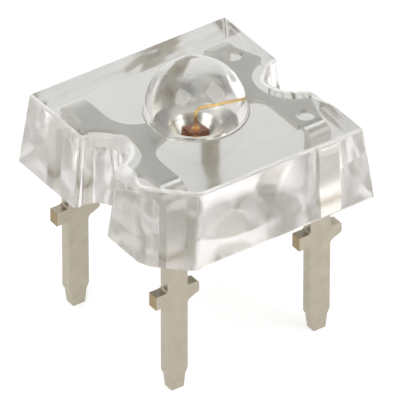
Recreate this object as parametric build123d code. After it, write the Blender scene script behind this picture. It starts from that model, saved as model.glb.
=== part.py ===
from build123d import *
import math
import os

# Piranha LED: a square clear moulding on two stamped lead frames.
# Millimetres, +Z up. The origin is on the axis of the lens, in the plane of the four lead tips.
# The notched sides face -X and +X, the cut corner is at -X, -Y.

# Lead frames
LEAD_PITCH = 5.08
SHEET = 0.35
LEAD_WIDTH = 0.71
BEND_INNER_RADIUS = 0.2

# Heights
LEAD_BELOW_BODY = 4.9
BODY_HEIGHT = 2.4
STRIP_BELOW_TOP = 0.28

# Stand-off tabs and lead tips
TAB_SPAN = 1.52
TAB_UNDERSIDE = 3.12
TAB_HEIGHT = 0.46
TAB_SLOPE_START = 0.1
TAB_SLOPE_DROP = 0.17
TAB_SLOPE_ROOT_RADIUS = 0.16
TAB_ROOT_RADIUS = 0.08
TAB_CORNER_RADIUS = 0.08
TIP_WIDTH = 0.42
TIP_NECK_WIDTH = 0.54
TIP_NECK_HEIGHT = 0.46
TIP_SHOULDER_HEIGHT = 0.64

# Moulding
TOP_BEYOND_LEADS = 0.96
FOOT_BEYOND_TOP = 0.25
NOTCH_TOP_RADIUS = 0.79
NOTCH_NARROWING = 0.03
CUT_CORNER_TOP_LEG = 1.25
CUT_CORNER_NARROWING = 0.18
CUT_CORNER_SIDE_ROUNDING = 0.9
CUT_CORNER_FRONT_ROUNDING = 0.35
CORNER_ROUNDING = 0.12
NOTCH_BACK_ROUNDING = 0.12
NOTCH_FRONT_ROUNDING = 0.35
TOP_EDGE_ROUNDING = 0.09

# Dome
DOME_RADIUS = 1.5
DOME_COLLAR = 0.16
DOME_FOOT_ROUNDING = 0.1

# Plan of the strips
CUP_STRIP_NOTCH_CLEARANCE = 0.53
WIRE_STRIP_NOTCH_CLEARANCE = 0.45
EAR_INSIDE_TOP = 0.26
HOOK_LENGTH = 0.28
HOOK_ROUNDING = 0.4
EAR_TIP_ROUNDING = 0.1
ANCHOR_HOLE_RADIUS = 0.3
ANCHOR_HOLE_BEYOND_LEAD = 0.06
ANCHOR_HOLE_FROM_LEAD = 0.7
CUP_TONGUE_WIDTH = 0.9
CUP_TONGUE_FLARE = 0.95
CUP_LAND_RADIUS = 0.72
WIRE_STRIP_INSIDE_LEAD = 0.105
WIRE_TONGUE_WIDTH = 0.56
WIRE_TONGUE_FLARE = 0.5
WIRE_TONGUE_GAP = 0.24
WIRE_TONGUE_TIP_ROUNDING = 0.14

# Reflector cup
CUP_RIM_RADIUS = 0.47
CUP_FLOOR_RADIUS = 0.32
CUP_DEPTH = 0.24
CUP_FLOOR_SHEET = 0.3
CUP_BACK_RADIUS = 0.56

# Chip and wire
CHIP_SIDE = 0.34
CHIP_HEIGHT = 0.2
ATTACH_RADIUS = 0.27
ATTACH_HEIGHT = 0.02
WIRE_DIAMETER = 0.045
BALL_RADIUS = 0.055
BALL_HEIGHT = 0.035
LOOP_ABOVE_STRIP = 0.38
LOOP_RADIUS = 0.1
KNEE_X = 0.92
KNEE_DROP = 0.17
KNEE_RADIUS = 0.4
STITCH_RADIUS = 0.06
STITCH_HEIGHT = 0.03

# How close two places or lengths are when they count as the same
MATCH = 0.02

# Worked out from the values above
BODY_TOP = LEAD_BELOW_BODY + BODY_HEIGHT
STRIP_TOP = BODY_TOP - STRIP_BELOW_TOP
STRIP_BOTTOM = STRIP_TOP - SHEET
LEAD_CENTRE = LEAD_PITCH / 2
LEAD_INNER_X = LEAD_CENTRE - LEAD_WIDTH / 2
LEAD_OUTER_X = LEAD_CENTRE + LEAD_WIDTH / 2
STRIP_LENGTH = LEAD_PITCH + SHEET
BEND_OUTER_RADIUS = BEND_INNER_RADIUS + SHEET
FLAT_END_Y = STRIP_LENGTH / 2 - BEND_OUTER_RADIUS
TAB_TOP = TAB_UNDERSIDE + TAB_HEIGHT
BODY_TOP_SIDE = LEAD_PITCH + 2 * TOP_BEYOND_LEADS
BODY_BOTTOM_SIDE = BODY_TOP_SIDE + 2 * FOOT_BEYOND_TOP
NOTCH_X = BODY_TOP_SIDE / 2
NOTCH_BOTTOM_RADIUS = NOTCH_TOP_RADIUS - NOTCH_NARROWING
CUT_CORNER_BOTTOM_LEG = CUT_CORNER_TOP_LEG - CUT_CORNER_NARROWING
CUP_STRIP_NOTCH_RADIUS = NOTCH_TOP_RADIUS + CUP_STRIP_NOTCH_CLEARANCE
WIRE_STRIP_NOTCH_RADIUS = NOTCH_TOP_RADIUS + WIRE_STRIP_NOTCH_CLEARANCE
EAR_X = NOTCH_X - EAR_INSIDE_TOP
ANCHOR_HOLE_X = LEAD_CENTRE + ANCHOR_HOLE_BEYOND_LEAD
ANCHOR_HOLE_Y = LEAD_CENTRE - ANCHOR_HOLE_FROM_LEAD
WIRE_STRIP_INNER_X = LEAD_INNER_X - WIRE_STRIP_INSIDE_LEAD
CUP_FLOOR = STRIP_TOP - CUP_DEPTH
CHIP_TOP = CUP_FLOOR + ATTACH_HEIGHT + CHIP_HEIGHT
WIRE_TONGUE_END = CUP_LAND_RADIUS + WIRE_TONGUE_GAP
STITCH_X = WIRE_TONGUE_END + WIRE_TONGUE_WIDTH / 2


def near(x, y):
    """A test for vertices at one place of an outline and at its mirror place across the X axis."""
    return lambda v: math.hypot(v.X - x, abs(v.Y) - y) < MATCH


def ear_tip_y(notch_radius):
    """Where the arc around the notch reaches the tip of an ear."""
    return math.sqrt(notch_radius**2 - (NOTCH_X - EAR_X) ** 2)


def bar_plan(inner_x, tongue_width, tongue_end, flare):
    """Straight bar of a strip with its flared tongue, seen from above, on the +X side."""
    width = LEAD_OUTER_X - inner_x
    bar = Pos(inner_x + width / 2, 0) * Rectangle(width, 2 * FLAT_END_Y)
    length = inner_x + width / 2 - tongue_end
    plan = bar + Pos(tongue_end + length / 2, 0) * Rectangle(length, tongue_width)
    return fillet(plan.vertices().filter_by(near(inner_x, tongue_width / 2)), flare)


def with_ears(plan, inner_x, notch_radius, root_y, root_rounding=0):
    """The strip's plan with an ear at each side of the arc that clears the moulding's notch."""
    tip_y = ear_tip_y(notch_radius)
    outline = Polyline(
        (inner_x, -root_y),
        (LEAD_OUTER_X, -root_y),
        (EAR_X, -tip_y),
        (EAR_X, tip_y),
        (LEAD_OUTER_X, root_y),
        (inner_x, root_y),
        close=True,
    )
    plan = plan + make_face(outline)
    if root_rounding:
        plan = fillet(plan.vertices().filter_by(near(LEAD_OUTER_X, root_y)), root_rounding)
    plan -= Pos(NOTCH_X, 0) * Circle(notch_radius)
    return fillet(plan.vertices().filter_by(near(EAR_X, tip_y)), EAR_TIP_ROUNDING)


def bent_band():
    """The strip's two right-angle bends and the upper stretch of its two leads."""
    outer_height = STRIP_TOP - TAB_TOP
    outer = Pos(0, TAB_TOP + outer_height / 2) * Rectangle(STRIP_LENGTH, outer_height)
    outer = fillet(outer.vertices().group_by(Axis.Y)[-1], BEND_OUTER_RADIUS)
    inner_height = STRIP_BOTTOM - TAB_TOP
    inner = Pos(0, TAB_TOP + inner_height / 2) * Rectangle(STRIP_LENGTH - 2 * SHEET, inner_height)
    inner = fillet(inner.vertices().group_by(Axis.Y)[-1], BEND_INNER_RADIUS)
    band = extrude(Plane.YZ * (outer - inner), LEAD_WIDTH)
    return Pos(LEAD_INNER_X, 0, 0) * band


def lead_profile():
    """A lead's wide face: stand-off tabs, square on one side and sloped on the other, and tapered tip."""
    half = LEAD_WIDTH / 2
    tab = TAB_SPAN / 2
    slope_top = TAB_UNDERSIDE + TAB_SLOPE_START
    slope_foot = slope_top - TAB_SLOPE_DROP
    outline = Polyline(
        (-TIP_WIDTH / 2, 0),
        (TIP_WIDTH / 2, 0),
        (TIP_NECK_WIDTH / 2, TIP_NECK_HEIGHT),
        (half, TIP_SHOULDER_HEIGHT),
        (half, slope_foot),
        (tab, slope_top),
        (tab, TAB_TOP),
        (half, TAB_TOP),
        (half, TAB_TOP + SHEET),
        (-half, TAB_TOP + SHEET),
        (-half, TAB_TOP),
        (-tab, TAB_TOP),
        (-tab, TAB_UNDERSIDE),
        (-half, TAB_UNDERSIDE),
        (-half, TIP_SHOULDER_HEIGHT),
        (-TIP_NECK_WIDTH / 2, TIP_NECK_HEIGHT),
        close=True,
    )
    face = make_face(outline)
    face = fillet(face.vertices().filter_by(near(half, slope_foot)), TAB_SLOPE_ROOT_RADIUS)
    for x, y in ((-half, TAB_UNDERSIDE), (half, TAB_TOP), (-half, TAB_TOP)):
        face = fillet(face.vertices().filter_by(near(x, y)), TAB_ROOT_RADIUS)
    for y in (slope_top, TAB_TOP):
        face = fillet(face.vertices().filter_by(near(tab, y)), TAB_CORNER_RADIUS)
    return face


def leads():
    """The two leads under one strip, on the +X side."""
    lead = extrude(Plane.XZ * lead_profile(), SHEET / 2, both=True)
    return [Pos(LEAD_CENTRE, y, 0) * lead for y in (-LEAD_CENTRE, LEAD_CENTRE)]


def strip(plan, notch_radius):
    """Flat strip with its bends, cleared around the notch of the moulding."""
    flat = Pos(0, 0, STRIP_BOTTOM) * extrude(plan, SHEET)
    clearance = Pos(NOTCH_X, 0, STRIP_BOTTOM + SHEET / 2) * Cylinder(notch_radius, 2 * SHEET)
    return flat + (bent_band() - clearance)


def cup():
    """Reflector cup, pressed down out of the tongue: the metal and the hollow to cut from it."""
    back = CUP_FLOOR - CUP_FLOOR_SHEET
    metal = Polyline(
        (0, back), (CUP_BACK_RADIUS, back), (CUP_LAND_RADIUS, STRIP_BOTTOM),
        (CUP_LAND_RADIUS, STRIP_TOP), (0, STRIP_TOP), close=True,
    )
    hollow = Polyline(
        (0, CUP_FLOOR), (CUP_FLOOR_RADIUS, CUP_FLOOR), (CUP_RIM_RADIUS, STRIP_TOP),
        (0, STRIP_TOP), close=True,
    )
    return [revolve(Plane.XZ * make_face(line), Axis.Z) for line in (metal, hollow)]


def cup_frame():
    """The frame on the -X side, which carries the reflector cup."""
    plan = bar_plan(LEAD_INNER_X, CUP_TONGUE_WIDTH, 0, CUP_TONGUE_FLARE)
    hook_y = ear_tip_y(CUP_STRIP_NOTCH_RADIUS) + HOOK_LENGTH
    hook_rounding = min(HOOK_ROUNDING, FLAT_END_Y - hook_y)
    plan = with_ears(plan, LEAD_INNER_X, CUP_STRIP_NOTCH_RADIUS, hook_y, hook_rounding)
    frame = mirror(strip(plan, CUP_STRIP_NOTCH_RADIUS), Plane.YZ)
    for lead in leads():
        frame += Pos(-LEAD_PITCH, 0, 0) * lead
    metal, hollow = cup()
    return frame + metal - hollow


def wire_frame():
    """The frame on the +X side, with two anchoring holes and the tongue for the bond wire."""
    plan = bar_plan(WIRE_STRIP_INNER_X, WIRE_TONGUE_WIDTH, WIRE_TONGUE_END, WIRE_TONGUE_FLARE)
    plan = with_ears(plan, WIRE_STRIP_INNER_X, WIRE_STRIP_NOTCH_RADIUS, FLAT_END_Y)
    tongue_tip = plan.vertices().filter_by(near(WIRE_TONGUE_END, WIRE_TONGUE_WIDTH / 2))
    plan = fillet(tongue_tip, WIRE_TONGUE_TIP_ROUNDING)
    frame = strip(plan, WIRE_STRIP_NOTCH_RADIUS)
    for side in (-1, 1):
        hole = Cylinder(ANCHOR_HOLE_RADIUS, 2 * SHEET)
        frame -= Pos(ANCHOR_HOLE_X, side * ANCHOR_HOLE_Y, STRIP_BOTTOM + SHEET / 2) * hole
    for lead in leads():
        frame += lead
    return frame


def led_chip():
    return Pos(0, 0, CHIP_TOP - CHIP_HEIGHT / 2) * Box(CHIP_SIDE, CHIP_SIDE, CHIP_HEIGHT)


def die_attach():
    return Pos(0, 0, CUP_FLOOR + ATTACH_HEIGHT / 2) * Cylinder(ATTACH_RADIUS, ATTACH_HEIGHT)


def bond_wire():
    """Bond wire: a ball on the chip, a loop, and a stitch on the tongue of the other frame."""
    loop_top = STRIP_TOP + LOOP_ABOVE_STRIP
    end_height = STRIP_TOP + WIRE_DIAMETER / 2
    path = FilletPolyline(
        (0, 0, CHIP_TOP + BALL_HEIGHT / 2),
        (0, 0, loop_top),
        (KNEE_X, 0, loop_top - KNEE_DROP),
        (STITCH_X, 0, end_height),
        radius=[LOOP_RADIUS, KNEE_RADIUS],
    )
    start = Plane(origin=path @ 0, z_dir=path % 0)
    wire = sweep(start * Circle(WIRE_DIAMETER / 2), path=path)
    ball = Pos(0, 0, CHIP_TOP + BALL_HEIGHT / 2) * Cylinder(BALL_RADIUS, BALL_HEIGHT)
    ball = chamfer(ball.edges().group_by(Axis.Z)[-1], BALL_HEIGHT / 2)
    stitch = Pos(STITCH_X, 0, STRIP_TOP + STITCH_HEIGHT / 2) * Cylinder(STITCH_RADIUS, STITCH_HEIGHT)
    return wire + ball + stitch


def cut_corner_plane():
    """The sloping plane of the cut corner, with its normal pointing out of the moulding."""
    low_half = BODY_BOTTOM_SIDE / 2
    low = Vector(-low_half, CUT_CORNER_BOTTOM_LEG - low_half, LEAD_BELOW_BODY)
    along = Vector(1, -1, 0)
    top_half = BODY_TOP_SIDE / 2
    rise = Vector(-top_half, CUT_CORNER_TOP_LEG - top_half, BODY_TOP) - low
    return Plane(origin=low, x_dir=along, z_dir=along.cross(rise))


def upright(edges):
    """The slanting corner edges of the moulding, which rise from its bottom to its top."""
    return [e for e in edges if abs(e.bounding_box().size.Z - BODY_HEIGHT) < MATCH]


def moulding():
    """Outer skin of the clear moulding: drafted block, cut corner, two notches and the dome."""
    draft = math.degrees(math.atan((BODY_BOTTOM_SIDE - BODY_TOP_SIDE) / 2 / BODY_HEIGHT))
    base = Pos(0, 0, LEAD_BELOW_BODY) * Rectangle(BODY_BOTTOM_SIDE, BODY_BOTTOM_SIDE)
    block = extrude(base, BODY_HEIGHT, taper=draft)
    block = fillet(upright(block.edges()), CORNER_ROUNDING)
    block = split(block, cut_corner_plane(), keep=Keep.BOTTOM)
    for rounding, way in ((CUT_CORNER_SIDE_ROUNDING, 1), (CUT_CORNER_FRONT_ROUNDING, -1)):
        cut_edges = [e for e in upright(block.edges()) if cut_corner_plane().contains(e.center())]
        block = fillet([e for e in cut_edges if way * (e.center().Y - e.center().X) > 0], rounding)
    for side in (-1, 1):
        notch = Pos(side * NOTCH_X, 0, LEAD_BELOW_BODY + BODY_HEIGHT / 2) * Cone(
            NOTCH_BOTTOM_RADIUS, NOTCH_TOP_RADIUS, BODY_HEIGHT
        )
        block -= notch
    for rounding, way in ((NOTCH_FRONT_ROUNDING, -1), (NOTCH_BACK_ROUNDING, 1)):
        mouths = [e for e in upright(block.edges()) if 0 < way * e.center().Y < 2 * NOTCH_TOP_RADIUS]
        block = fillet(mouths, rounding)
    block = fillet(block.edges().group_by(Axis.Z)[-1], TOP_EDGE_ROUNDING)
    dome = Pos(0, 0, BODY_TOP + DOME_COLLAR) * Sphere(DOME_RADIUS)
    dome = split(dome, Plane.XY.offset(BODY_TOP + DOME_COLLAR), keep=Keep.TOP)
    dome += Pos(0, 0, BODY_TOP + DOME_COLLAR / 2) * Cylinder(DOME_RADIUS, DOME_COLLAR)
    block += dome
    foot = [
        e for e in block.edges().filter_by(GeomType.CIRCLE)
        if abs(e.center().Z - BODY_TOP) < MATCH and abs(e.radius - DOME_RADIUS) < MATCH
    ]
    return fillet(foot, DOME_FOOT_ROUNDING)


def main():
    os.makedirs("parts", exist_ok=True)
    pieces = {
        "cup_frame": cup_frame(),
        "wire_frame": wire_frame(),
        "led_chip": led_chip(),
        "die_attach": die_attach(),
        "bond_wire": bond_wire(),
    }
    body = moulding()
    for piece in pieces.values():
        body -= piece
    pieces["lens_body"] = body
    for name, piece in pieces.items():
        export_step(piece, f"parts/{name}.step")


main()
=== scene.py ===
import math

import bpy
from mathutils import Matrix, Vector, noise as perlin
from mathutils.geometry import tessellate_polygon


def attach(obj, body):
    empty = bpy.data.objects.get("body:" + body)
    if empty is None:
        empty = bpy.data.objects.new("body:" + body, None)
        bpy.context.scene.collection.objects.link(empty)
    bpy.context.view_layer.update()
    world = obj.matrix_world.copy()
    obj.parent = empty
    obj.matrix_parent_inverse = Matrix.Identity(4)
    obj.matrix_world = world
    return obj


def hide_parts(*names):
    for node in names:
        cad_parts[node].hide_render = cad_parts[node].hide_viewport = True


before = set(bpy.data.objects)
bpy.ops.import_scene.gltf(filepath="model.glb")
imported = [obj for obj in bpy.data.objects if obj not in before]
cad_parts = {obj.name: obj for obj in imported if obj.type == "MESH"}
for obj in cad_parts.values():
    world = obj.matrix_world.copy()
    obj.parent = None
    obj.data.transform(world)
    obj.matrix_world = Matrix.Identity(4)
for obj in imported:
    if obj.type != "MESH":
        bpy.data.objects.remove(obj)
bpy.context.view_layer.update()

# Lengths are in millimetres and angles in degrees below; MM turns lengths into metres.
MM = 0.001
UP = Vector((0, 0, 1))

# Camera, fitted to the photograph: its look direction, its distance, and the photograph's scale
CAMERA_AZIMUTH = -35.0
CAMERA_ELEVATION = 35.7
CAMERA_DISTANCE = 286.0
PICTURE_PIXELS = 400
PIXELS_PER_MM = 34.31
PICTURE_WIDTH = PICTURE_PIXELS / PIXELS_PER_MM
SENSOR_WIDTH = 36.0
NEAREST_SEEN = 1.0
FARTHEST_SEEN = 10000.0
AIM = Vector((0.0, 0.0, 5.0))
AIM_RIGHT = 0.124
AIM_DOWN = 0.72

# Moulding
BODY_FOOT = 4.9
BODY_TOP = 7.3
FOOT_HALF = 3.75
TOP_HALF = 3.5
FOOT_CUT_LEG = 1.07
TOP_CUT_LEG = 1.25
CUT_SIDE_ROUNDING = 0.9
CUT_FRONT_ROUNDING = 0.35
CORNER_ROUNDING = 0.12
NOTCH_X = 3.5
NOTCH_FOOT_RADIUS = 0.76
NOTCH_TOP_RADIUS = 0.79
FRONT_MOUTH_FOOT_ROUNDING = 0.22
FRONT_MOUTH_TOP_ROUNDING = 0.48
BACK_MOUTH_ROUNDING = 0.12
TOP_EDGE_ROUNDING = 0.09
MOUTH_EDGE_ROUNDING = 0.33
DOME_RADIUS = 1.5
DOME_COLLAR = 0.16
DOME_FOOT_ROUNDING = 0.1
HOLLOW_RADIUS = 2.65
HOLLOW_DEPTH = 0.25

# Where along Y the top edge's rounding grows wide, and where it grows small again
EDGE_WIDENS = (-2.2, -1.4)
EDGE_NARROWS = (0.05, 0.5)

# Waves of the walls, each with its fineness and height, and the reach over which their slope is taken
WAVES = ((0.9, 0.036), (2.0, 0.014))
WAVE_REACH = 0.02

# How finely the moulding is divided: the arcs of its outline, the straight sides after them, and its rings
CORNER_STEPS = 8
FRONT_MOUTH_STEPS = 10
BACK_MOUTH_STEPS = 8
NOTCH_STEPS = 44
CUT_SIDE_STEPS = 14
CUT_FRONT_STEPS = 8
STRAIGHT_STEPS = (32, 1, 1, 32, 60, 32, 1, 1, 16, 16, 48)
WALL_STEPS = 52
EDGE_STEPS = 5
CIRCLE_STEPS = 120
DOME_FOOT_STEPS = 6
DOME_STEPS = 36
HOLLOW_STEPS = 16

# Strips, cup and chip
STRIP_TOP = 7.02
CHIP_TOP = 7.0
LEAD_CENTRE = 2.54
TAB_HALF_SPAN = 0.76
TAB_TOP = 3.58
CUP_BACK = 6.48
CONTACT_RADIUS = 0.07
EDGE_SOFTENING = 0.03
EDGE_SEGMENTS = 2
SHARP_ANGLE = 35
FLAT_ANGLE = 1

# Where the finish of a strip or chip changes, from start to end: heights, distances and upward lean
INSIDE_Z = (BODY_FOOT - 0.1, BODY_FOOT + 0.3)
ABOVE_BACK_Z = (CUP_BACK - 0.1, CUP_BACK)
BELOW_STRIP_Z = (STRIP_TOP - 0.02, STRIP_TOP - 0.05)
TAB_Z = (TAB_TOP + 0.1, TAB_TOP + 0.05)
UNDER_DOME = (DOME_RADIUS, DOME_RADIUS - 0.2)
UNDER_CUP_RIM = (0.8, 0.72)
TAB_END_FROM_LEAD = (TAB_HALF_SPAN - 0.02, TAB_HALF_SPAN - 0.005)
CONTACT_EDGE = (CONTACT_RADIUS, CONTACT_RADIUS + 0.01)
FACES_UP = (0.8, 0.95)
FACES_DOWN = (-0.5, -0.9)

# Bond wire
WIRE_RADIUS = 0.028
WIRE_SIDES = 16
BEND_STEPS = 10
BALL_RADIUS = 0.055
BALL_HEIGHT = 0.035
BALL_SIDE_ANGLE = 80
BALL_STEPS = 8
TURNED_SIDES = 32
LOOP_ABOVE_STRIP = 0.38
LOOP_RADIUS = 0.1
KNEE_X = 0.92
KNEE_DROP = 0.17
KNEE_RADIUS = 0.4
STITCH_X = 1.24
STITCH_RADIUS = 0.06
STITCH_HEIGHT = 0.034
# The stitch's side: share of its radius, and height
STITCH_SIDE = ((1.0, 0.0), (0.9, 0.012), (0.5, 0.03))

# Finishes of the moulding, by the number of their material
POLISHED, WALLS, UNDERSIDE, EDGE_HIGHLIGHT = range(4)
EPOXY_IOR = 1.54
# Name, the two tints of the cloud, roughness and clearness, in the order of the numbers above
EPOXIES = (
    # The grey tints of the polished and underside finishes are partly the epoxy's own and mostly painted
    # shade, standing in for the floor's shadow under the part.
    ("epoxy_polished_painted_shade", ((0.62, 0.625, 0.60), (0.66, 0.66, 0.64)), 0.09, 1.0),
    ("epoxy_walls", ((0.97, 0.955, 0.945), (1.0, 0.985, 0.98)), 0.14, 1.0),
    ("epoxy_underside_painted_shade", ((0.52, 0.52, 0.50), (0.58, 0.58, 0.56)), 0.1, 1.0),
    # The edge finish is a painted highlight: its near-white tint and lower clearness whiten the rounded
    # edges.
    ("epoxy_edges_painted_highlight", ((0.97, 0.97, 0.97), (1.0, 1.0, 1.0)), 0.25, 0.7),
)

# Fineness of the clouds that mottle each material, in clouds to the millimetre, and the share of a
# cloud at each end that has one plain colour
EPOXY_CLOUD = 0.5
PLATE_CLOUD = 2.2
CHIP_CLOUD = 9.0
GLUE_CLOUD = 24.0
GOLD_CLOUD = 12.0
PLAIN_SHARE = 0.3
PLATE_PLAIN_SHARE = 0.25
# Rolling marks of the plated strip: stretch along each axis, strength and height
GRAIN_STRETCH = (14, 14, 0.8)
GRAIN_STRENGTH = 0.25
GRAIN_HEIGHT = 0.01

# Least and most roughness, and what the plated strip loses of it inside the moulding and by the cup
PLATE_DULL = (0.3, 0.42)
PLATE_INSIDE = -0.03
PLATE_BY_CUP = -0.11
CHIP_DULL = (0.18, 0.34)
CHIP_COAT = 0.3
GLUE_DULL = (0.45, 0.7)
GLUE_METALLIC = 0.7
GOLD_DULL = (0.16, 0.3)

# Colours: two where a material is mottled
SATIN = ((0.42, 0.38, 0.30), (0.50, 0.46, 0.375))
ROLLED = ((0.70, 0.715, 0.71), (0.77, 0.785, 0.77))
# The colour of the strip's sides inside the moulding: its warm tone is the cut metal's own, and part of
# its brightness is a painted highlight.
CUT_TONE_AND_HIGHLIGHT = ((0.70, 0.685, 0.64), (0.78, 0.765, 0.72))
STRIP_UNDERSIDE = (0.66, 0.66, 0.635)
BY_CUP = (0.97, 0.97, 0.94)
IN_CUP = (0.72, 0.71, 0.66)
TAB_END = (0.32, 0.245, 0.135)
CHIP_BODY = ((0.26, 0.06, 0.015), (0.47, 0.14, 0.035))
CHIP_CONTACT = (1.0, 0.66, 0.22)
GLUE = ((0.42, 0.42, 0.41), (0.68, 0.68, 0.66))
GOLD = ((0.95, 0.60, 0.17), (1.0, 0.72, 0.30))
WHITE = (1.0, 1.0, 1.0)

# Stage: the floor's half side, matt colour and glow, and the sky's height and colour, low and overhead
FLOOR_HALF = 400
FLOOR_COLOR = (0.5, 0.5, 0.5)
FLOOR_GLOW = 0.68
SKY = ((0.1, (1.2, 1.18, 1.165)), (0.6, (0.36, 0.345, 0.34)))
# Azimuth, elevation and distance from the object, side, power in watts and colour
LIGHTS = {
    "right_window": (-52, 46, 60, 38, 0.0125, WHITE),
    "left_window": (-172, 47, 60, 34, 0.0105, WHITE),
    "back_card": (55, 38, 70, 50, 0.0045, (1.0, 0.98, 0.96)),
    "top_card": (100, 66, 60, 30, 0.0045, WHITE),
}
LIGHT_BOUNCES = 32


def link(obj):
    bpy.context.scene.collection.objects.link(obj)
    return obj


def mesh_object(name, points, faces):
    """A mesh object from points in millimetres."""
    mesh = bpy.data.meshes.new(name)
    mesh.from_pydata([tuple(c * MM for c in p) for p in points], [], faces)
    mesh.update()
    return link(bpy.data.objects.new(name, mesh))


def mix(a, b, t):
    return a + (b - a) * t


def smooth_step(value, start, end):
    t = min(max((value - start) / (end - start), 0.0), 1.0)
    return t * t * (3 - 2 * t)


def pairs(count, flip=False):
    """Neighbours round a closed ring, each pair turned about with flip."""
    for i in range(count):
        j = (i + 1) % count
        yield (j, i) if flip else (i, j)


# Plan of the moulding

def arc(cx, cy, radius, start, end, steps):
    """Points of an arc with their outward directions; a negative radius is a hollow arc."""
    out = []
    for i in range(steps + 1):
        a = math.radians(mix(start, end, i / steps))
        x, y = math.cos(a), math.sin(a)
        sign = 1 if radius > 0 else -1
        out.append((cx + abs(radius) * x, cy + abs(radius) * y, sign * x, sign * y))
    return out


def straight(a, b, steps):
    """Points between the end of one arc and the start of the next."""
    return [
        tuple(mix(a[k], b[k], i / steps) for k in range(4))
        for i in range(1, steps)
    ]


def body_outline(height):
    """The moulding's outline at a height, anticlockwise from its +X, -Y corner."""
    t = (height - BODY_FOOT) / (BODY_TOP - BODY_FOOT)
    half = mix(FOOT_HALF, TOP_HALF, t)
    notch = mix(NOTCH_FOOT_RADIUS, NOTCH_TOP_RADIUS, t)
    corner, side, front = CORNER_ROUNDING, CUT_SIDE_ROUNDING, CUT_FRONT_ROUNDING
    eighth = math.tan(math.radians(22.5))
    cut = mix(FOOT_CUT_LEG, TOP_CUT_LEG, t) - half
    mouths = []
    for r in (mix(FRONT_MOUTH_FOOT_ROUNDING, FRONT_MOUTH_TOP_ROUNDING, t), BACK_MOUTH_ROUNDING):
        x = half - r
        y = math.sqrt((notch + r) ** 2 - (NOTCH_X - x) ** 2)
        mouths.append((x, y, r, math.degrees(math.atan2(y, NOTCH_X - x))))
    (fx, fy, fr, f_turn), (bx, by, br, b_turn) = mouths
    arcs = [
        arc(half - corner, corner - half, corner, -90, 0, CORNER_STEPS),
        arc(fx, -fy, fr, 0, f_turn, FRONT_MOUTH_STEPS),
        arc(NOTCH_X, 0, -notch, 180 + f_turn, 180 - b_turn, NOTCH_STEPS)[1:],
        arc(bx, by, br, -b_turn, 0, BACK_MOUTH_STEPS)[1:],
        arc(half - corner, half - corner, corner, 0, 90, CORNER_STEPS),
        arc(corner - half, half - corner, corner, 90, 180, CORNER_STEPS),
        arc(-bx, by, br, 180, 180 + b_turn, BACK_MOUTH_STEPS),
        arc(-NOTCH_X, 0, -notch, b_turn, -f_turn, NOTCH_STEPS)[1:],
        arc(-fx, -fy, fr, 180 - f_turn, 180, FRONT_MOUTH_STEPS)[1:],
        arc(side - half, cut + side * eighth, side, 180, 225, CUT_SIDE_STEPS),
        arc(cut + front * eighth, front - half, front, 225, 270, CUT_FRONT_STEPS),
    ]
    out = []
    for i, (piece, steps) in enumerate(zip(arcs, STRAIGHT_STEPS)):
        out += piece
        out += straight(piece[-1], arcs[(i + 1) % len(arcs)][0], steps)
    return out


def wave(point):
    """How far a mould wave lifts the wall at a point; it dies away at the wall's foot and top."""
    t = (point.z - BODY_FOOT) / (BODY_TOP - MOUTH_EDGE_ROUNDING - BODY_FOOT)
    fade = math.sin(math.pi * min(max(t, 0.0), 1.0))
    return fade * sum(lift * perlin.noise(point * scale) for scale, lift in WAVES)


def waved(point, normal):
    """A wall point moved by its wave, with the normal that belongs to it."""
    slope = Vector([
        (wave(point + step * WAVE_REACH) - wave(point - step * WAVE_REACH)) / (2 * WAVE_REACH)
        for step in (Vector((1, 0, 0)), Vector((0, 1, 0)), UP)
    ])
    across = slope - normal * slope.dot(normal)
    return point + normal * wave(point), (normal - across).normalized()


def edge_rounding(y):
    """Radius of the top edge: wide at the notches and the front of their mouths, small elsewhere."""
    wide = smooth_step(y, *EDGE_WIDENS) * (1 - smooth_step(y, *EDGE_NARROWS))
    return mix(TOP_EDGE_ROUNDING, MOUTH_EDGE_ROUNDING, wide)


def wall_point(low, high, height, inset):
    """The point at a height on the line between an outline's foot and top points, drawn in by inset."""
    t = (height - BODY_FOOT) / (BODY_TOP - BODY_FOOT)
    x, y, out_x, out_y = (mix(a, b, t) for a, b in zip(low, high))
    return Vector((x - out_x * inset, y - out_y * inset, height))


def wall_normals(low, high):
    """Outward normals of the wall between two outlines of the same points."""
    out = []
    for a, b in zip(low, high):
        along = Vector((-a[3], a[2], 0))
        rise = Vector((b[0] - a[0], b[1] - a[1], BODY_TOP - BODY_FOOT))
        out.append(along.cross(rise).normalized())
    return out


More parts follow.
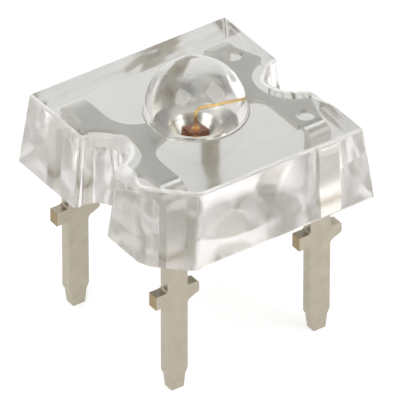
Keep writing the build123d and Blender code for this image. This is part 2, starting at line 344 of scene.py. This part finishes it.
class Skin:
    """Points, faces, the finish of each face and a true normal for each of its corners."""

    def __init__(self):
        self.points, self.faces, self.normals = [], [], []
        self.finishes, self.finish = [], POLISHED

    def ring(self, points, normals):
        """Adds points; a ring is the number of its first point and the normals of all."""
        first = len(self.points)
        self.points += [tuple(p) for p in points]
        return first, normals

    def circle(self, radius, height, out, rise):
        """A level ring about the axis whose normals lean outward by out and upward by rise."""
        turns = [2 * math.pi * k / CIRCLE_STEPS for k in range(CIRCLE_STEPS)]
        spokes = [Vector((math.cos(a), math.sin(a), 0)) for a in turns]
        normals = [(spoke * out + UP * rise).normalized() for spoke in spokes]
        return self.ring([spoke * radius + UP * height for spoke in spokes], normals)

    def add(self, face, normals):
        self.faces.append(face)
        self.normals += normals
        self.finishes.append(self.finish)

    def band(self, low, high, flip=False):
        """Four-sided faces between two rings of the same number of points."""
        (a, low_normals), (b, high_normals) = low, high
        for i, j in pairs(len(low_normals), flip):
            self.add((a + i, a + j, b + j, b + i),
                     [low_normals[i], low_normals[j], high_normals[j], high_normals[i]])

    def plate(self, outer, inner, normal):
        """Level face between an outline and a ring inside it."""
        corners, loops = [], []
        for first, normals in (outer, inner):
            loop = range(first, first + len(normals))
            corners += loop
            loops.append([Vector(self.points[k]) for k in loop])
        for triangle in tessellate_polygon(loops):
            a, b, c = (corners[k] for k in triangle)
            pa, pb, pc = (Vector(self.points[k]) for k in (a, b, c))
            if (pb - pa).cross(pc - pa).dot(normal) < 0:
                b, c = c, b
            self.add((a, b, c), [normal] * 3)

    def cap(self, ring, height, normal, flip=False):
        """Triangles from a ring to one point on the axis."""
        first, normals = ring
        middle = len(self.points)
        self.points.append((0, 0, height))
        for i, j in pairs(len(normals), flip):
            self.add((first + i, first + j, middle), [normals[i], normals[j], normal])

    def make(self, name):
        obj = mesh_object(name, self.points, self.faces)
        obj.data.shade_smooth()
        obj.data.normals_split_custom_set([tuple(n) for n in self.normals])
        obj.data.polygons.foreach_set("material_index", self.finishes)
        return obj


def add_walls(skin):
    """Adds the waved walls and the rounded top edge, and gives the rings at their foot and top."""
    foot, top = body_outline(BODY_FOOT), body_outline(BODY_TOP)
    wall = wall_normals(foot, top)
    lines = [(low, high, edge_rounding(high[1]), normal) for low, high, normal in zip(foot, top, wall)]
    foot_ring = last = skin.ring([(x, y, BODY_FOOT) for x, y, _, _ in foot], wall)
    skin.finish = WALLS
    for i in range(1, WALL_STEPS + 1):
        both = []
        for low, high, radius, normal in lines:
            height = mix(BODY_FOOT, BODY_TOP - radius, i / WALL_STEPS)
            both.append(waved(wall_point(low, high, height, 0), normal))
        ring = skin.ring(*zip(*both))
        skin.band(last, ring)
        last = ring
    # The rounded top edge takes the finish that paints a highlight on it.
    skin.finish = EDGE_HIGHLIGHT
    for i in range(1, EDGE_STEPS + 1):
        a = math.radians(90 * i / EDGE_STEPS)
        points = [
            wall_point(low, high, BODY_TOP - radius * (1 - math.sin(a)), radius * (1 - math.cos(a)))
            for low, high, radius, _ in lines
        ]
        ring = skin.ring(points, [(n * math.cos(a) + UP * math.sin(a)).normalized() for n in wall])
        skin.band(last, ring)
        last = ring
    return foot_ring, last


def add_dome(skin, edge):
    """Adds the flat top inside its edge, the rounded foot of the dome, its collar and the dome."""
    skin.finish = POLISHED
    for i in range(DOME_FOOT_STEPS + 1):
        a = math.radians(90 * i / DOME_FOOT_STEPS)
        radius = DOME_RADIUS + DOME_FOOT_ROUNDING * (1 - math.sin(a))
        height = BODY_TOP + DOME_FOOT_ROUNDING * (1 - math.cos(a))
        ring = skin.circle(radius, height, math.sin(a), math.cos(a))
        if i == 0:
            skin.plate(edge, ring, UP)
        else:
            skin.band(last, ring)
        last = ring
    for i in range(DOME_STEPS):
        a = math.radians(90 * i / DOME_STEPS)
        height = BODY_TOP + DOME_COLLAR + DOME_RADIUS * math.sin(a)
        ring = skin.circle(DOME_RADIUS * math.cos(a), height, math.cos(a), math.sin(a))
        skin.band(last, ring)
        last = ring
    skin.cap(last, BODY_TOP + DOME_COLLAR + DOME_RADIUS, UP)


def add_underside(skin, foot):
    """Adds the underside with its shallow hollow."""
    skin.finish = UNDERSIDE
    for i in range(HOLLOW_STEPS):
        r = 1 - i / HOLLOW_STEPS
        height = BODY_FOOT + HOLLOW_DEPTH * (1 - r * r) ** 2
        slope = -4 * r * (1 - r * r) * HOLLOW_DEPTH / HOLLOW_RADIUS
        ring = skin.circle(HOLLOW_RADIUS * r, height, slope, -1)
        if i == 0:
            skin.plate(foot, ring, -UP)
        else:
            skin.band(last, ring, flip=True)
        last = ring
    skin.cap(last, BODY_FOOT + HOLLOW_DEPTH, -UP, flip=True)


def make_moulding():
    """The clear moulding as one closed skin."""
    skin = Skin()
    foot, edge = add_walls(skin)
    add_dome(skin, edge)
    add_underside(skin, foot)
    return skin.make("clear_moulding")


# Bond wire

def rounded_path(corners, radii):
    """Corners in the XZ plane with arcs at the inner ones."""
    corners = [Vector(c) for c in corners]
    points = corners[:1]
    for before, here, after, radius in zip(corners, corners[1:], corners[2:], radii):
        back, ahead = (before - here).normalized(), (after - here).normalized()
        half_angle = back.angle(ahead) / 2
        reach = radius / math.tan(half_angle)
        centre = here + (back + ahead).normalized() * radius / math.sin(half_angle)
        start = here + back * reach - centre
        end = here + ahead * reach - centre
        turn = start.angle(end)
        for k in range(BEND_STEPS + 1):
            t = k / BEND_STEPS
            spoke = (start * math.sin((1 - t) * turn) + end * math.sin(t * turn)) / math.sin(turn)
            points.append(centre + spoke)
    return points + corners[-1:]


def tube(name, path, radius, sides=WIRE_SIDES):
    """A round closed tube along a path in the XZ plane."""
    across = Vector((0, 1, 0))
    points, faces = [], []
    for i, p in enumerate(path):
        ahead = path[min(i + 1, len(path) - 1)] - path[max(i - 1, 0)]
        side = across.cross(ahead.normalized())
        for k in range(sides):
            a = 2 * math.pi * k / sides
            points.append(tuple(p + across * radius * math.cos(a) + side * radius * math.sin(a)))
    for low in range(0, (len(path) - 1) * sides, sides):
        high = low + sides
        faces += [(low + j, low + k, high + k, high + j) for k, j in pairs(sides)]
    faces.append(tuple(range(sides)))
    faces.append(tuple(reversed(range(len(points) - sides, len(points)))))
    obj = mesh_object(name, points, faces)
    obj.data.shade_smooth()
    return obj


def turned(name, profile, x, sides=TURNED_SIDES):
    """A closed turned shape from a (radius, height) profile that starts and ends on the axis at x."""
    points = [(x, 0, profile[0][1])]
    for radius, height in profile[1:-1]:
        for k in range(sides):
            a = 2 * math.pi * k / sides
            points.append((x + radius * math.cos(a), radius * math.sin(a), height))
    points.append((x, 0, profile[-1][1]))
    last = len(points) - 1
    faces = [(0, 1 + j, 1 + k) for k, j in pairs(sides)]
    for low in range(1, last - sides, sides):
        high = low + sides
        faces += [(low + k, low + j, high + j, high + k) for k, j in pairs(sides)]
    faces += [(last - sides + k, last - sides + j, last) for k, j in pairs(sides)]
    obj = mesh_object(name, points, faces)
    obj.data.shade_smooth()
    return obj


def make_wire():
    """Gold wire: squashed ball on the chip, loop, and stitch on the tongue of the other frame."""
    loop_top = STRIP_TOP + LOOP_ABOVE_STRIP
    corners = [
        (0, 0, CHIP_TOP + BALL_HEIGHT / 2),
        (0, 0, loop_top),
        (KNEE_X, 0, loop_top - KNEE_DROP),
        (STITCH_X, 0, STRIP_TOP + WIRE_RADIUS),
    ]
    wire = tube("bond_wire_loop", rounded_path(corners, [LOOP_RADIUS, KNEE_RADIUS]), WIRE_RADIUS)
    belly = BALL_HEIGHT / 2
    ball_profile = [(0, CHIP_TOP)]
    for i in range(BALL_STEPS + 1):
        a = math.radians(mix(-BALL_SIDE_ANGLE, BALL_SIDE_ANGLE, i / BALL_STEPS))
        out, rise = belly * math.cos(a), belly * math.sin(a)
        ball_profile.append((BALL_RADIUS - belly + out, CHIP_TOP + belly + rise))
    ball_profile.append((0, CHIP_TOP + BALL_HEIGHT))
    ball = turned("bond_ball", ball_profile, 0)
    stitch_profile = [(0, STRIP_TOP)]
    stitch_profile += [(STITCH_RADIUS * share, STRIP_TOP + height) for share, height in STITCH_SIDE]
    stitch_profile.append((0, STRIP_TOP + STITCH_HEIGHT))
    stitch = turned("bond_stitch", stitch_profile, STITCH_X)
    return [wire, ball, stitch]


# Materials

class Nodes:
    """A node tree with a method for each kind of node that it needs; each gives output sockets."""

    def __init__(self, tree):
        self.tree = tree

    def add(self, kind):
        return self.tree.nodes.new(kind)

    def feed(self, socket, value):
        """Gives an input a number, a colour or another node's output."""
        if isinstance(value, bpy.types.NodeSocket):
            self.tree.links.new(value, socket)
        elif isinstance(value, tuple):
            socket.default_value = (*value, 1.0)
        else:
            socket.default_value = value

    def place(self, output="Object"):
        return self.add("ShaderNodeTexCoord").outputs[output]

    def split(self, vector):
        """The three coordinates of a vector; those of a place are in metres."""
        node = self.add("ShaderNodeSeparateXYZ")
        self.feed(node.inputs["Vector"], vector)
        return [node.outputs[k] for k in "XYZ"]

    def noise(self, scale, detail=3.0, stretch=(1, 1, 1)):
        """Clouds in object coordinates: how many to the millimetre, multiplied along each axis."""
        mapping = self.add("ShaderNodeMapping")
        mapping.inputs["Scale"].default_value = tuple(s / MM for s in stretch)
        self.feed(mapping.inputs["Vector"], self.place())
        node = self.add("ShaderNodeTexNoise")
        self.feed(node.inputs["Scale"], scale)
        self.feed(node.inputs["Detail"], detail)
        self.feed(node.inputs["Vector"], mapping.outputs["Vector"])
        return node.outputs["Fac"]

    def ramp(self, value, low, high):
        """A colour ramp between two (position, colour) ends."""
        node = self.add("ShaderNodeValToRGB")
        for element, (position, color) in zip(node.color_ramp.elements, (low, high)):
            element.position = position
            element.color = (*color, 1.0)
        self.feed(node.inputs["Fac"], value)
        return node.outputs["Color"]

    def mottle(self, cloud, colors, plain=PLAIN_SHARE):
        """The colours that a cloud mixes from two, with a plain share at each end."""
        low, high = colors
        return self.ramp(cloud, (plain, low), (1 - plain, high))

    def change(self, value, start, end, low=0.0, high=1.0):
        """low where the value is at start, high where it is at end, and an even change between them."""
        node = self.add("ShaderNodeMapRange")
        settings = {"From Min": start, "From Max": end, "To Min": low, "To Max": high, "Value": value}
        for key, setting in settings.items():
            self.feed(node.inputs[key], setting)
        return node.outputs["Result"]

    def step(self, value, start, end):
        """0 at one length in millimetres, 1 at the other, and a smooth change between them."""
        result = self.change(value, start * MM, end * MM)
        result.node.interpolation_type = "SMOOTHSTEP"
        return result

    def maths(self, operation, *terms):
        """One sum; each term is a number or another node's output."""
        node = self.add("ShaderNodeMath")
        node.operation = operation
        for socket, term in zip(node.inputs, terms):
            self.feed(socket, term)
        return node.outputs[0]

    def product(self, first, *others):
        for other in others:
            first = self.maths("MULTIPLY", first, other)
        return first

    def from_axis(self, x, y):
        """Distance from the lens axis."""
        return self.maths("SQRT", self.maths("ADD", self.product(x, x), self.product(y, y)))

    def facing(self, low, high):
        """0 where the surface's normal has a height of low, 1 where it has high: 1 is up and -1 down."""
        return self.change(self.split(self.place("Normal"))[2], low, high)

    def blend(self, amount, a, b):
        """Mixes two colours."""
        node = self.add("ShaderNodeMix")
        node.data_type = "RGBA"
        self.feed(node.inputs["Factor"], amount)
        self.feed(node.inputs[6], a)
        self.feed(node.inputs[7], b)
        return node.outputs[2]


class Paint(Nodes):
    """A material with its principled shader."""

    def __init__(self, name, values):
        self.material = bpy.data.materials.new(name)
        self.material.use_nodes = True
        super().__init__(self.material.node_tree)
        self.inputs = self.tree.nodes["Principled BSDF"].inputs
        for key, value in values.items():
            self.set(key, value)

    def set(self, name, value):
        self.feed(self.inputs[name], value)

    def bump(self, height, strength, distance):
        node = self.add("ShaderNodeBump")
        self.feed(node.inputs["Strength"], strength)
        self.feed(node.inputs["Distance"], distance * MM)
        self.feed(node.inputs["Height"], height)
        self.set("Normal", node.outputs["Normal"])


def epoxy_material(name, tints, roughness, clearness):
    """Cast epoxy, clouded between two tints; the grey tints hold painted shade, and the white tint of the
    edges a painted highlight.
    """
    paint = Paint(name, {"Transmission Weight": clearness, "IOR": EPOXY_IOR, "Roughness": roughness})
    paint.set("Base Color", paint.mottle(paint.noise(EPOXY_CLOUD), tints))
    return paint.material


def plate_material():
    """Plated strip: satin on the leads, brighter in the moulding, and most polished at the cup.

    The ends of the tabs show bare brass-coloured metal, where they were cut from the carrier strip.
    """
    paint = Paint("plated_strip", {"Metallic": 1.0})
    cloud = paint.noise(PLATE_CLOUD, detail=4.0)
    x, y, z = paint.split(paint.place())
    out = paint.from_axis(x, y)
    satin, rolled, cut = (
        paint.mottle(cloud, colors, PLATE_PLAIN_SHARE) for colors in (SATIN, ROLLED, CUT_TONE_AND_HIGHLIGHT))
    # Faces that don't face up take the cut colour, partly a painted highlight on the strip's sides.
    bright = paint.blend(paint.facing(*FACES_UP), cut, rolled)
    bright = paint.blend(paint.facing(*FACES_DOWN), bright, STRIP_UNDERSIDE)
    inside = paint.step(z, *INSIDE_Z)
    above_back = paint.step(z, *ABOVE_BACK_Z)
    by_cup = paint.product(above_back, paint.step(out, *UNDER_DOME))
    in_cup = paint.product(
        above_back, paint.step(z, *BELOW_STRIP_Z), paint.step(out, *UNDER_CUP_RIM))
    to_lead = paint.maths("SUBTRACT", paint.maths("ABSOLUTE", x), LEAD_CENTRE * MM)
    from_lead = paint.maths("ABSOLUTE", to_lead)
    tab_end = paint.product(paint.step(z, *TAB_Z), paint.step(from_lead, *TAB_END_FROM_LEAD))
    color = paint.blend(inside, satin, bright)
    for where, own_color in ((by_cup, BY_CUP), (in_cup, IN_CUP), (tab_end, TAB_END)):
        color = paint.blend(where, color, own_color)
    paint.set("Base Color", color)
    dull = paint.change(cloud, 0, 1, *PLATE_DULL)
    for where, loss in ((inside, PLATE_INSIDE), (by_cup, PLATE_BY_CUP)):
        dull = paint.maths("ADD", dull, paint.change(where, 0, 1, 0, loss))
    paint.set("Roughness", dull)
    paint.bump(paint.noise(1.0, detail=2.0, stretch=GRAIN_STRETCH), GRAIN_STRENGTH, GRAIN_HEIGHT)
    return paint.material


def chip_material():
    """Red-brown chip with a gold contact in the middle of its top."""
    paint = Paint("chip", {"Coat Weight": CHIP_COAT})
    cloud = paint.noise(CHIP_CLOUD)
    x, y, _ = paint.split(paint.place())
    around = paint.step(paint.from_axis(x, y), *CONTACT_EDGE)
    paint.set("Base Color", paint.blend(around, CHIP_CONTACT, paint.mottle(cloud, CHIP_BODY)))
    paint.set("Metallic", paint.change(around, 0, 1, 1, 0))
    paint.set("Roughness", paint.change(cloud, 0, 1, *CHIP_DULL))
    return paint.material


def metal_material(name, metallic, colors, fineness, dull):
    """Metal mottled between two colours and between its least and most roughness."""
    paint = Paint(name, {"Metallic": metallic})
    cloud = paint.noise(fineness)
    paint.set("Base Color", paint.mottle(cloud, colors))
    paint.set("Roughness", paint.change(cloud, 0, 1, *dull))
    return paint.material


# Stage, lights and camera

def floor_material():
    """Plain light in what the camera, mirrors and glass see, and a pale matt surface for the rest."""
    paint = Paint("floor_white", {
        "Base Color": FLOOR_COLOR, "Roughness": 1.0, "Specular IOR Level": 0.0, "Emission Color": WHITE})
    ray = paint.add("ShaderNodeLightPath").outputs
    seen = paint.maths("MAXIMUM", ray["Is Camera Ray"], ray["Is Glossy Ray"])
    seen = paint.maths("MAXIMUM", seen, ray["Is Transmission Ray"])
    paint.set("Emission Strength", paint.product(seen, FLOOR_GLOW))
    return paint.material


def make_floor():
    half = FLOOR_HALF
    points = [(-half, -half, 0), (half, -half, 0), (half, half, 0), (-half, half, 0)]
    floor = mesh_object("floor", points, [(0, 1, 2, 3)])
    floor.data.materials.append(floor_material())


def make_world():
    """A white studio, much darker overhead."""
    world = bpy.data.worlds.new("studio")
    bpy.context.scene.world = world
    world.use_nodes = True
    nodes = Nodes(world.node_tree)
    background = world.node_tree.nodes["Background"].inputs
    nodes.feed(background["Color"], nodes.ramp(nodes.split(nodes.place("Generated"))[2], *SKY))
    nodes.feed(background["Strength"], 1.0)


def area_light(name, azimuth, elevation, distance, size, power, color):
    """A square soft light aimed at the object; the direction is given as seen from the object."""
    data = bpy.data.lights.new(name, "AREA")
    data.shape = "SQUARE"
    data.size = size * MM
    data.energy = power
    data.color = color
    light = link(bpy.data.objects.new(name, data))
    a, e = math.radians(azimuth), math.radians(elevation)
    way = Vector((math.cos(a) * math.cos(e), math.sin(a) * math.cos(e), math.sin(e)))
    light.location = (AIM + way * distance) * MM
    light.rotation_euler = way.to_track_quat("Z", "Y").to_euler()


def make_camera():
    a, e = math.radians(CAMERA_AZIMUTH), math.radians(CAMERA_ELEVATION)
    right = Vector((math.cos(a), math.sin(a), 0))
    ahead = Vector((-math.sin(a) * math.cos(e), math.cos(a) * math.cos(e), -math.sin(e)))
    aim = AIM + right * AIM_RIGHT - right.cross(ahead) * AIM_DOWN
    data = bpy.data.cameras.new("camera")
    data.sensor_width = SENSOR_WIDTH
    data.lens = data.sensor_width * CAMERA_DISTANCE / PICTURE_WIDTH
    data.clip_start = NEAREST_SEEN * MM
    data.clip_end = FARTHEST_SEEN * MM
    camera = link(bpy.data.objects.new("camera", data))
    camera.location = (aim - ahead * CAMERA_DISTANCE) * MM
    camera.rotation_euler = (-ahead).to_track_quat("Z", "Y").to_euler()
    bpy.context.scene.camera = camera


# Pieces

def carry(obj, node=None):
    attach(obj, "root")
    if node:
        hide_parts(node)


def soften_edges(obj):
    """Joins the flat facets of a CAD node, then rounds its stamped edges."""
    flats = obj.modifiers.new("flats", "DECIMATE")
    flats.decimate_type = "DISSOLVE"
    flats.angle_limit = math.radians(FLAT_ANGLE)
    bevel = obj.modifiers.new("edges", "BEVEL")
    bevel.width = EDGE_SOFTENING * MM
    bevel.segments = EDGE_SEGMENTS
    bevel.limit_method = "ANGLE"
    bevel.angle_limit = math.radians(SHARP_ANGLE)
    bevel.harden_normals = False
    normals = obj.modifiers.new("normals", "WEIGHTED_NORMAL")
    normals.keep_sharp = True


def paint_node(name, material):
    for material_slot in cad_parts[name].material_slots:
        material_slot.material = material


make_camera()
make_floor()
make_world()
for name, settings in LIGHTS.items():
    area_light(name, *settings)

moulding = make_moulding()
for settings in EPOXIES:
    moulding.data.materials.append(epoxy_material(*settings))
carry(moulding, "lens_body")
gold = metal_material("gold", 1.0, GOLD, GOLD_CLOUD, GOLD_DULL)
for piece, node in zip(make_wire(), ("bond_wire", None, None)):
    piece.data.materials.append(gold)
    carry(piece, node)
plate = plate_material()
for name in ("cup_frame", "wire_frame"):
    paint_node(name, plate)
    soften_edges(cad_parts[name])
paint_node("led_chip", chip_material())
paint_node("die_attach", metal_material("silver_glue", GLUE_METALLIC, GLUE, GLUE_CLOUD, GLUE_DULL))

scene = bpy.context.scene
scene.view_settings.view_transform = "Standard"
scene.cycles.max_bounces = LIGHT_BOUNCES
scene.cycles.glossy_bounces = LIGHT_BOUNCES
scene.cycles.transmission_bounces = LIGHT_BOUNCES
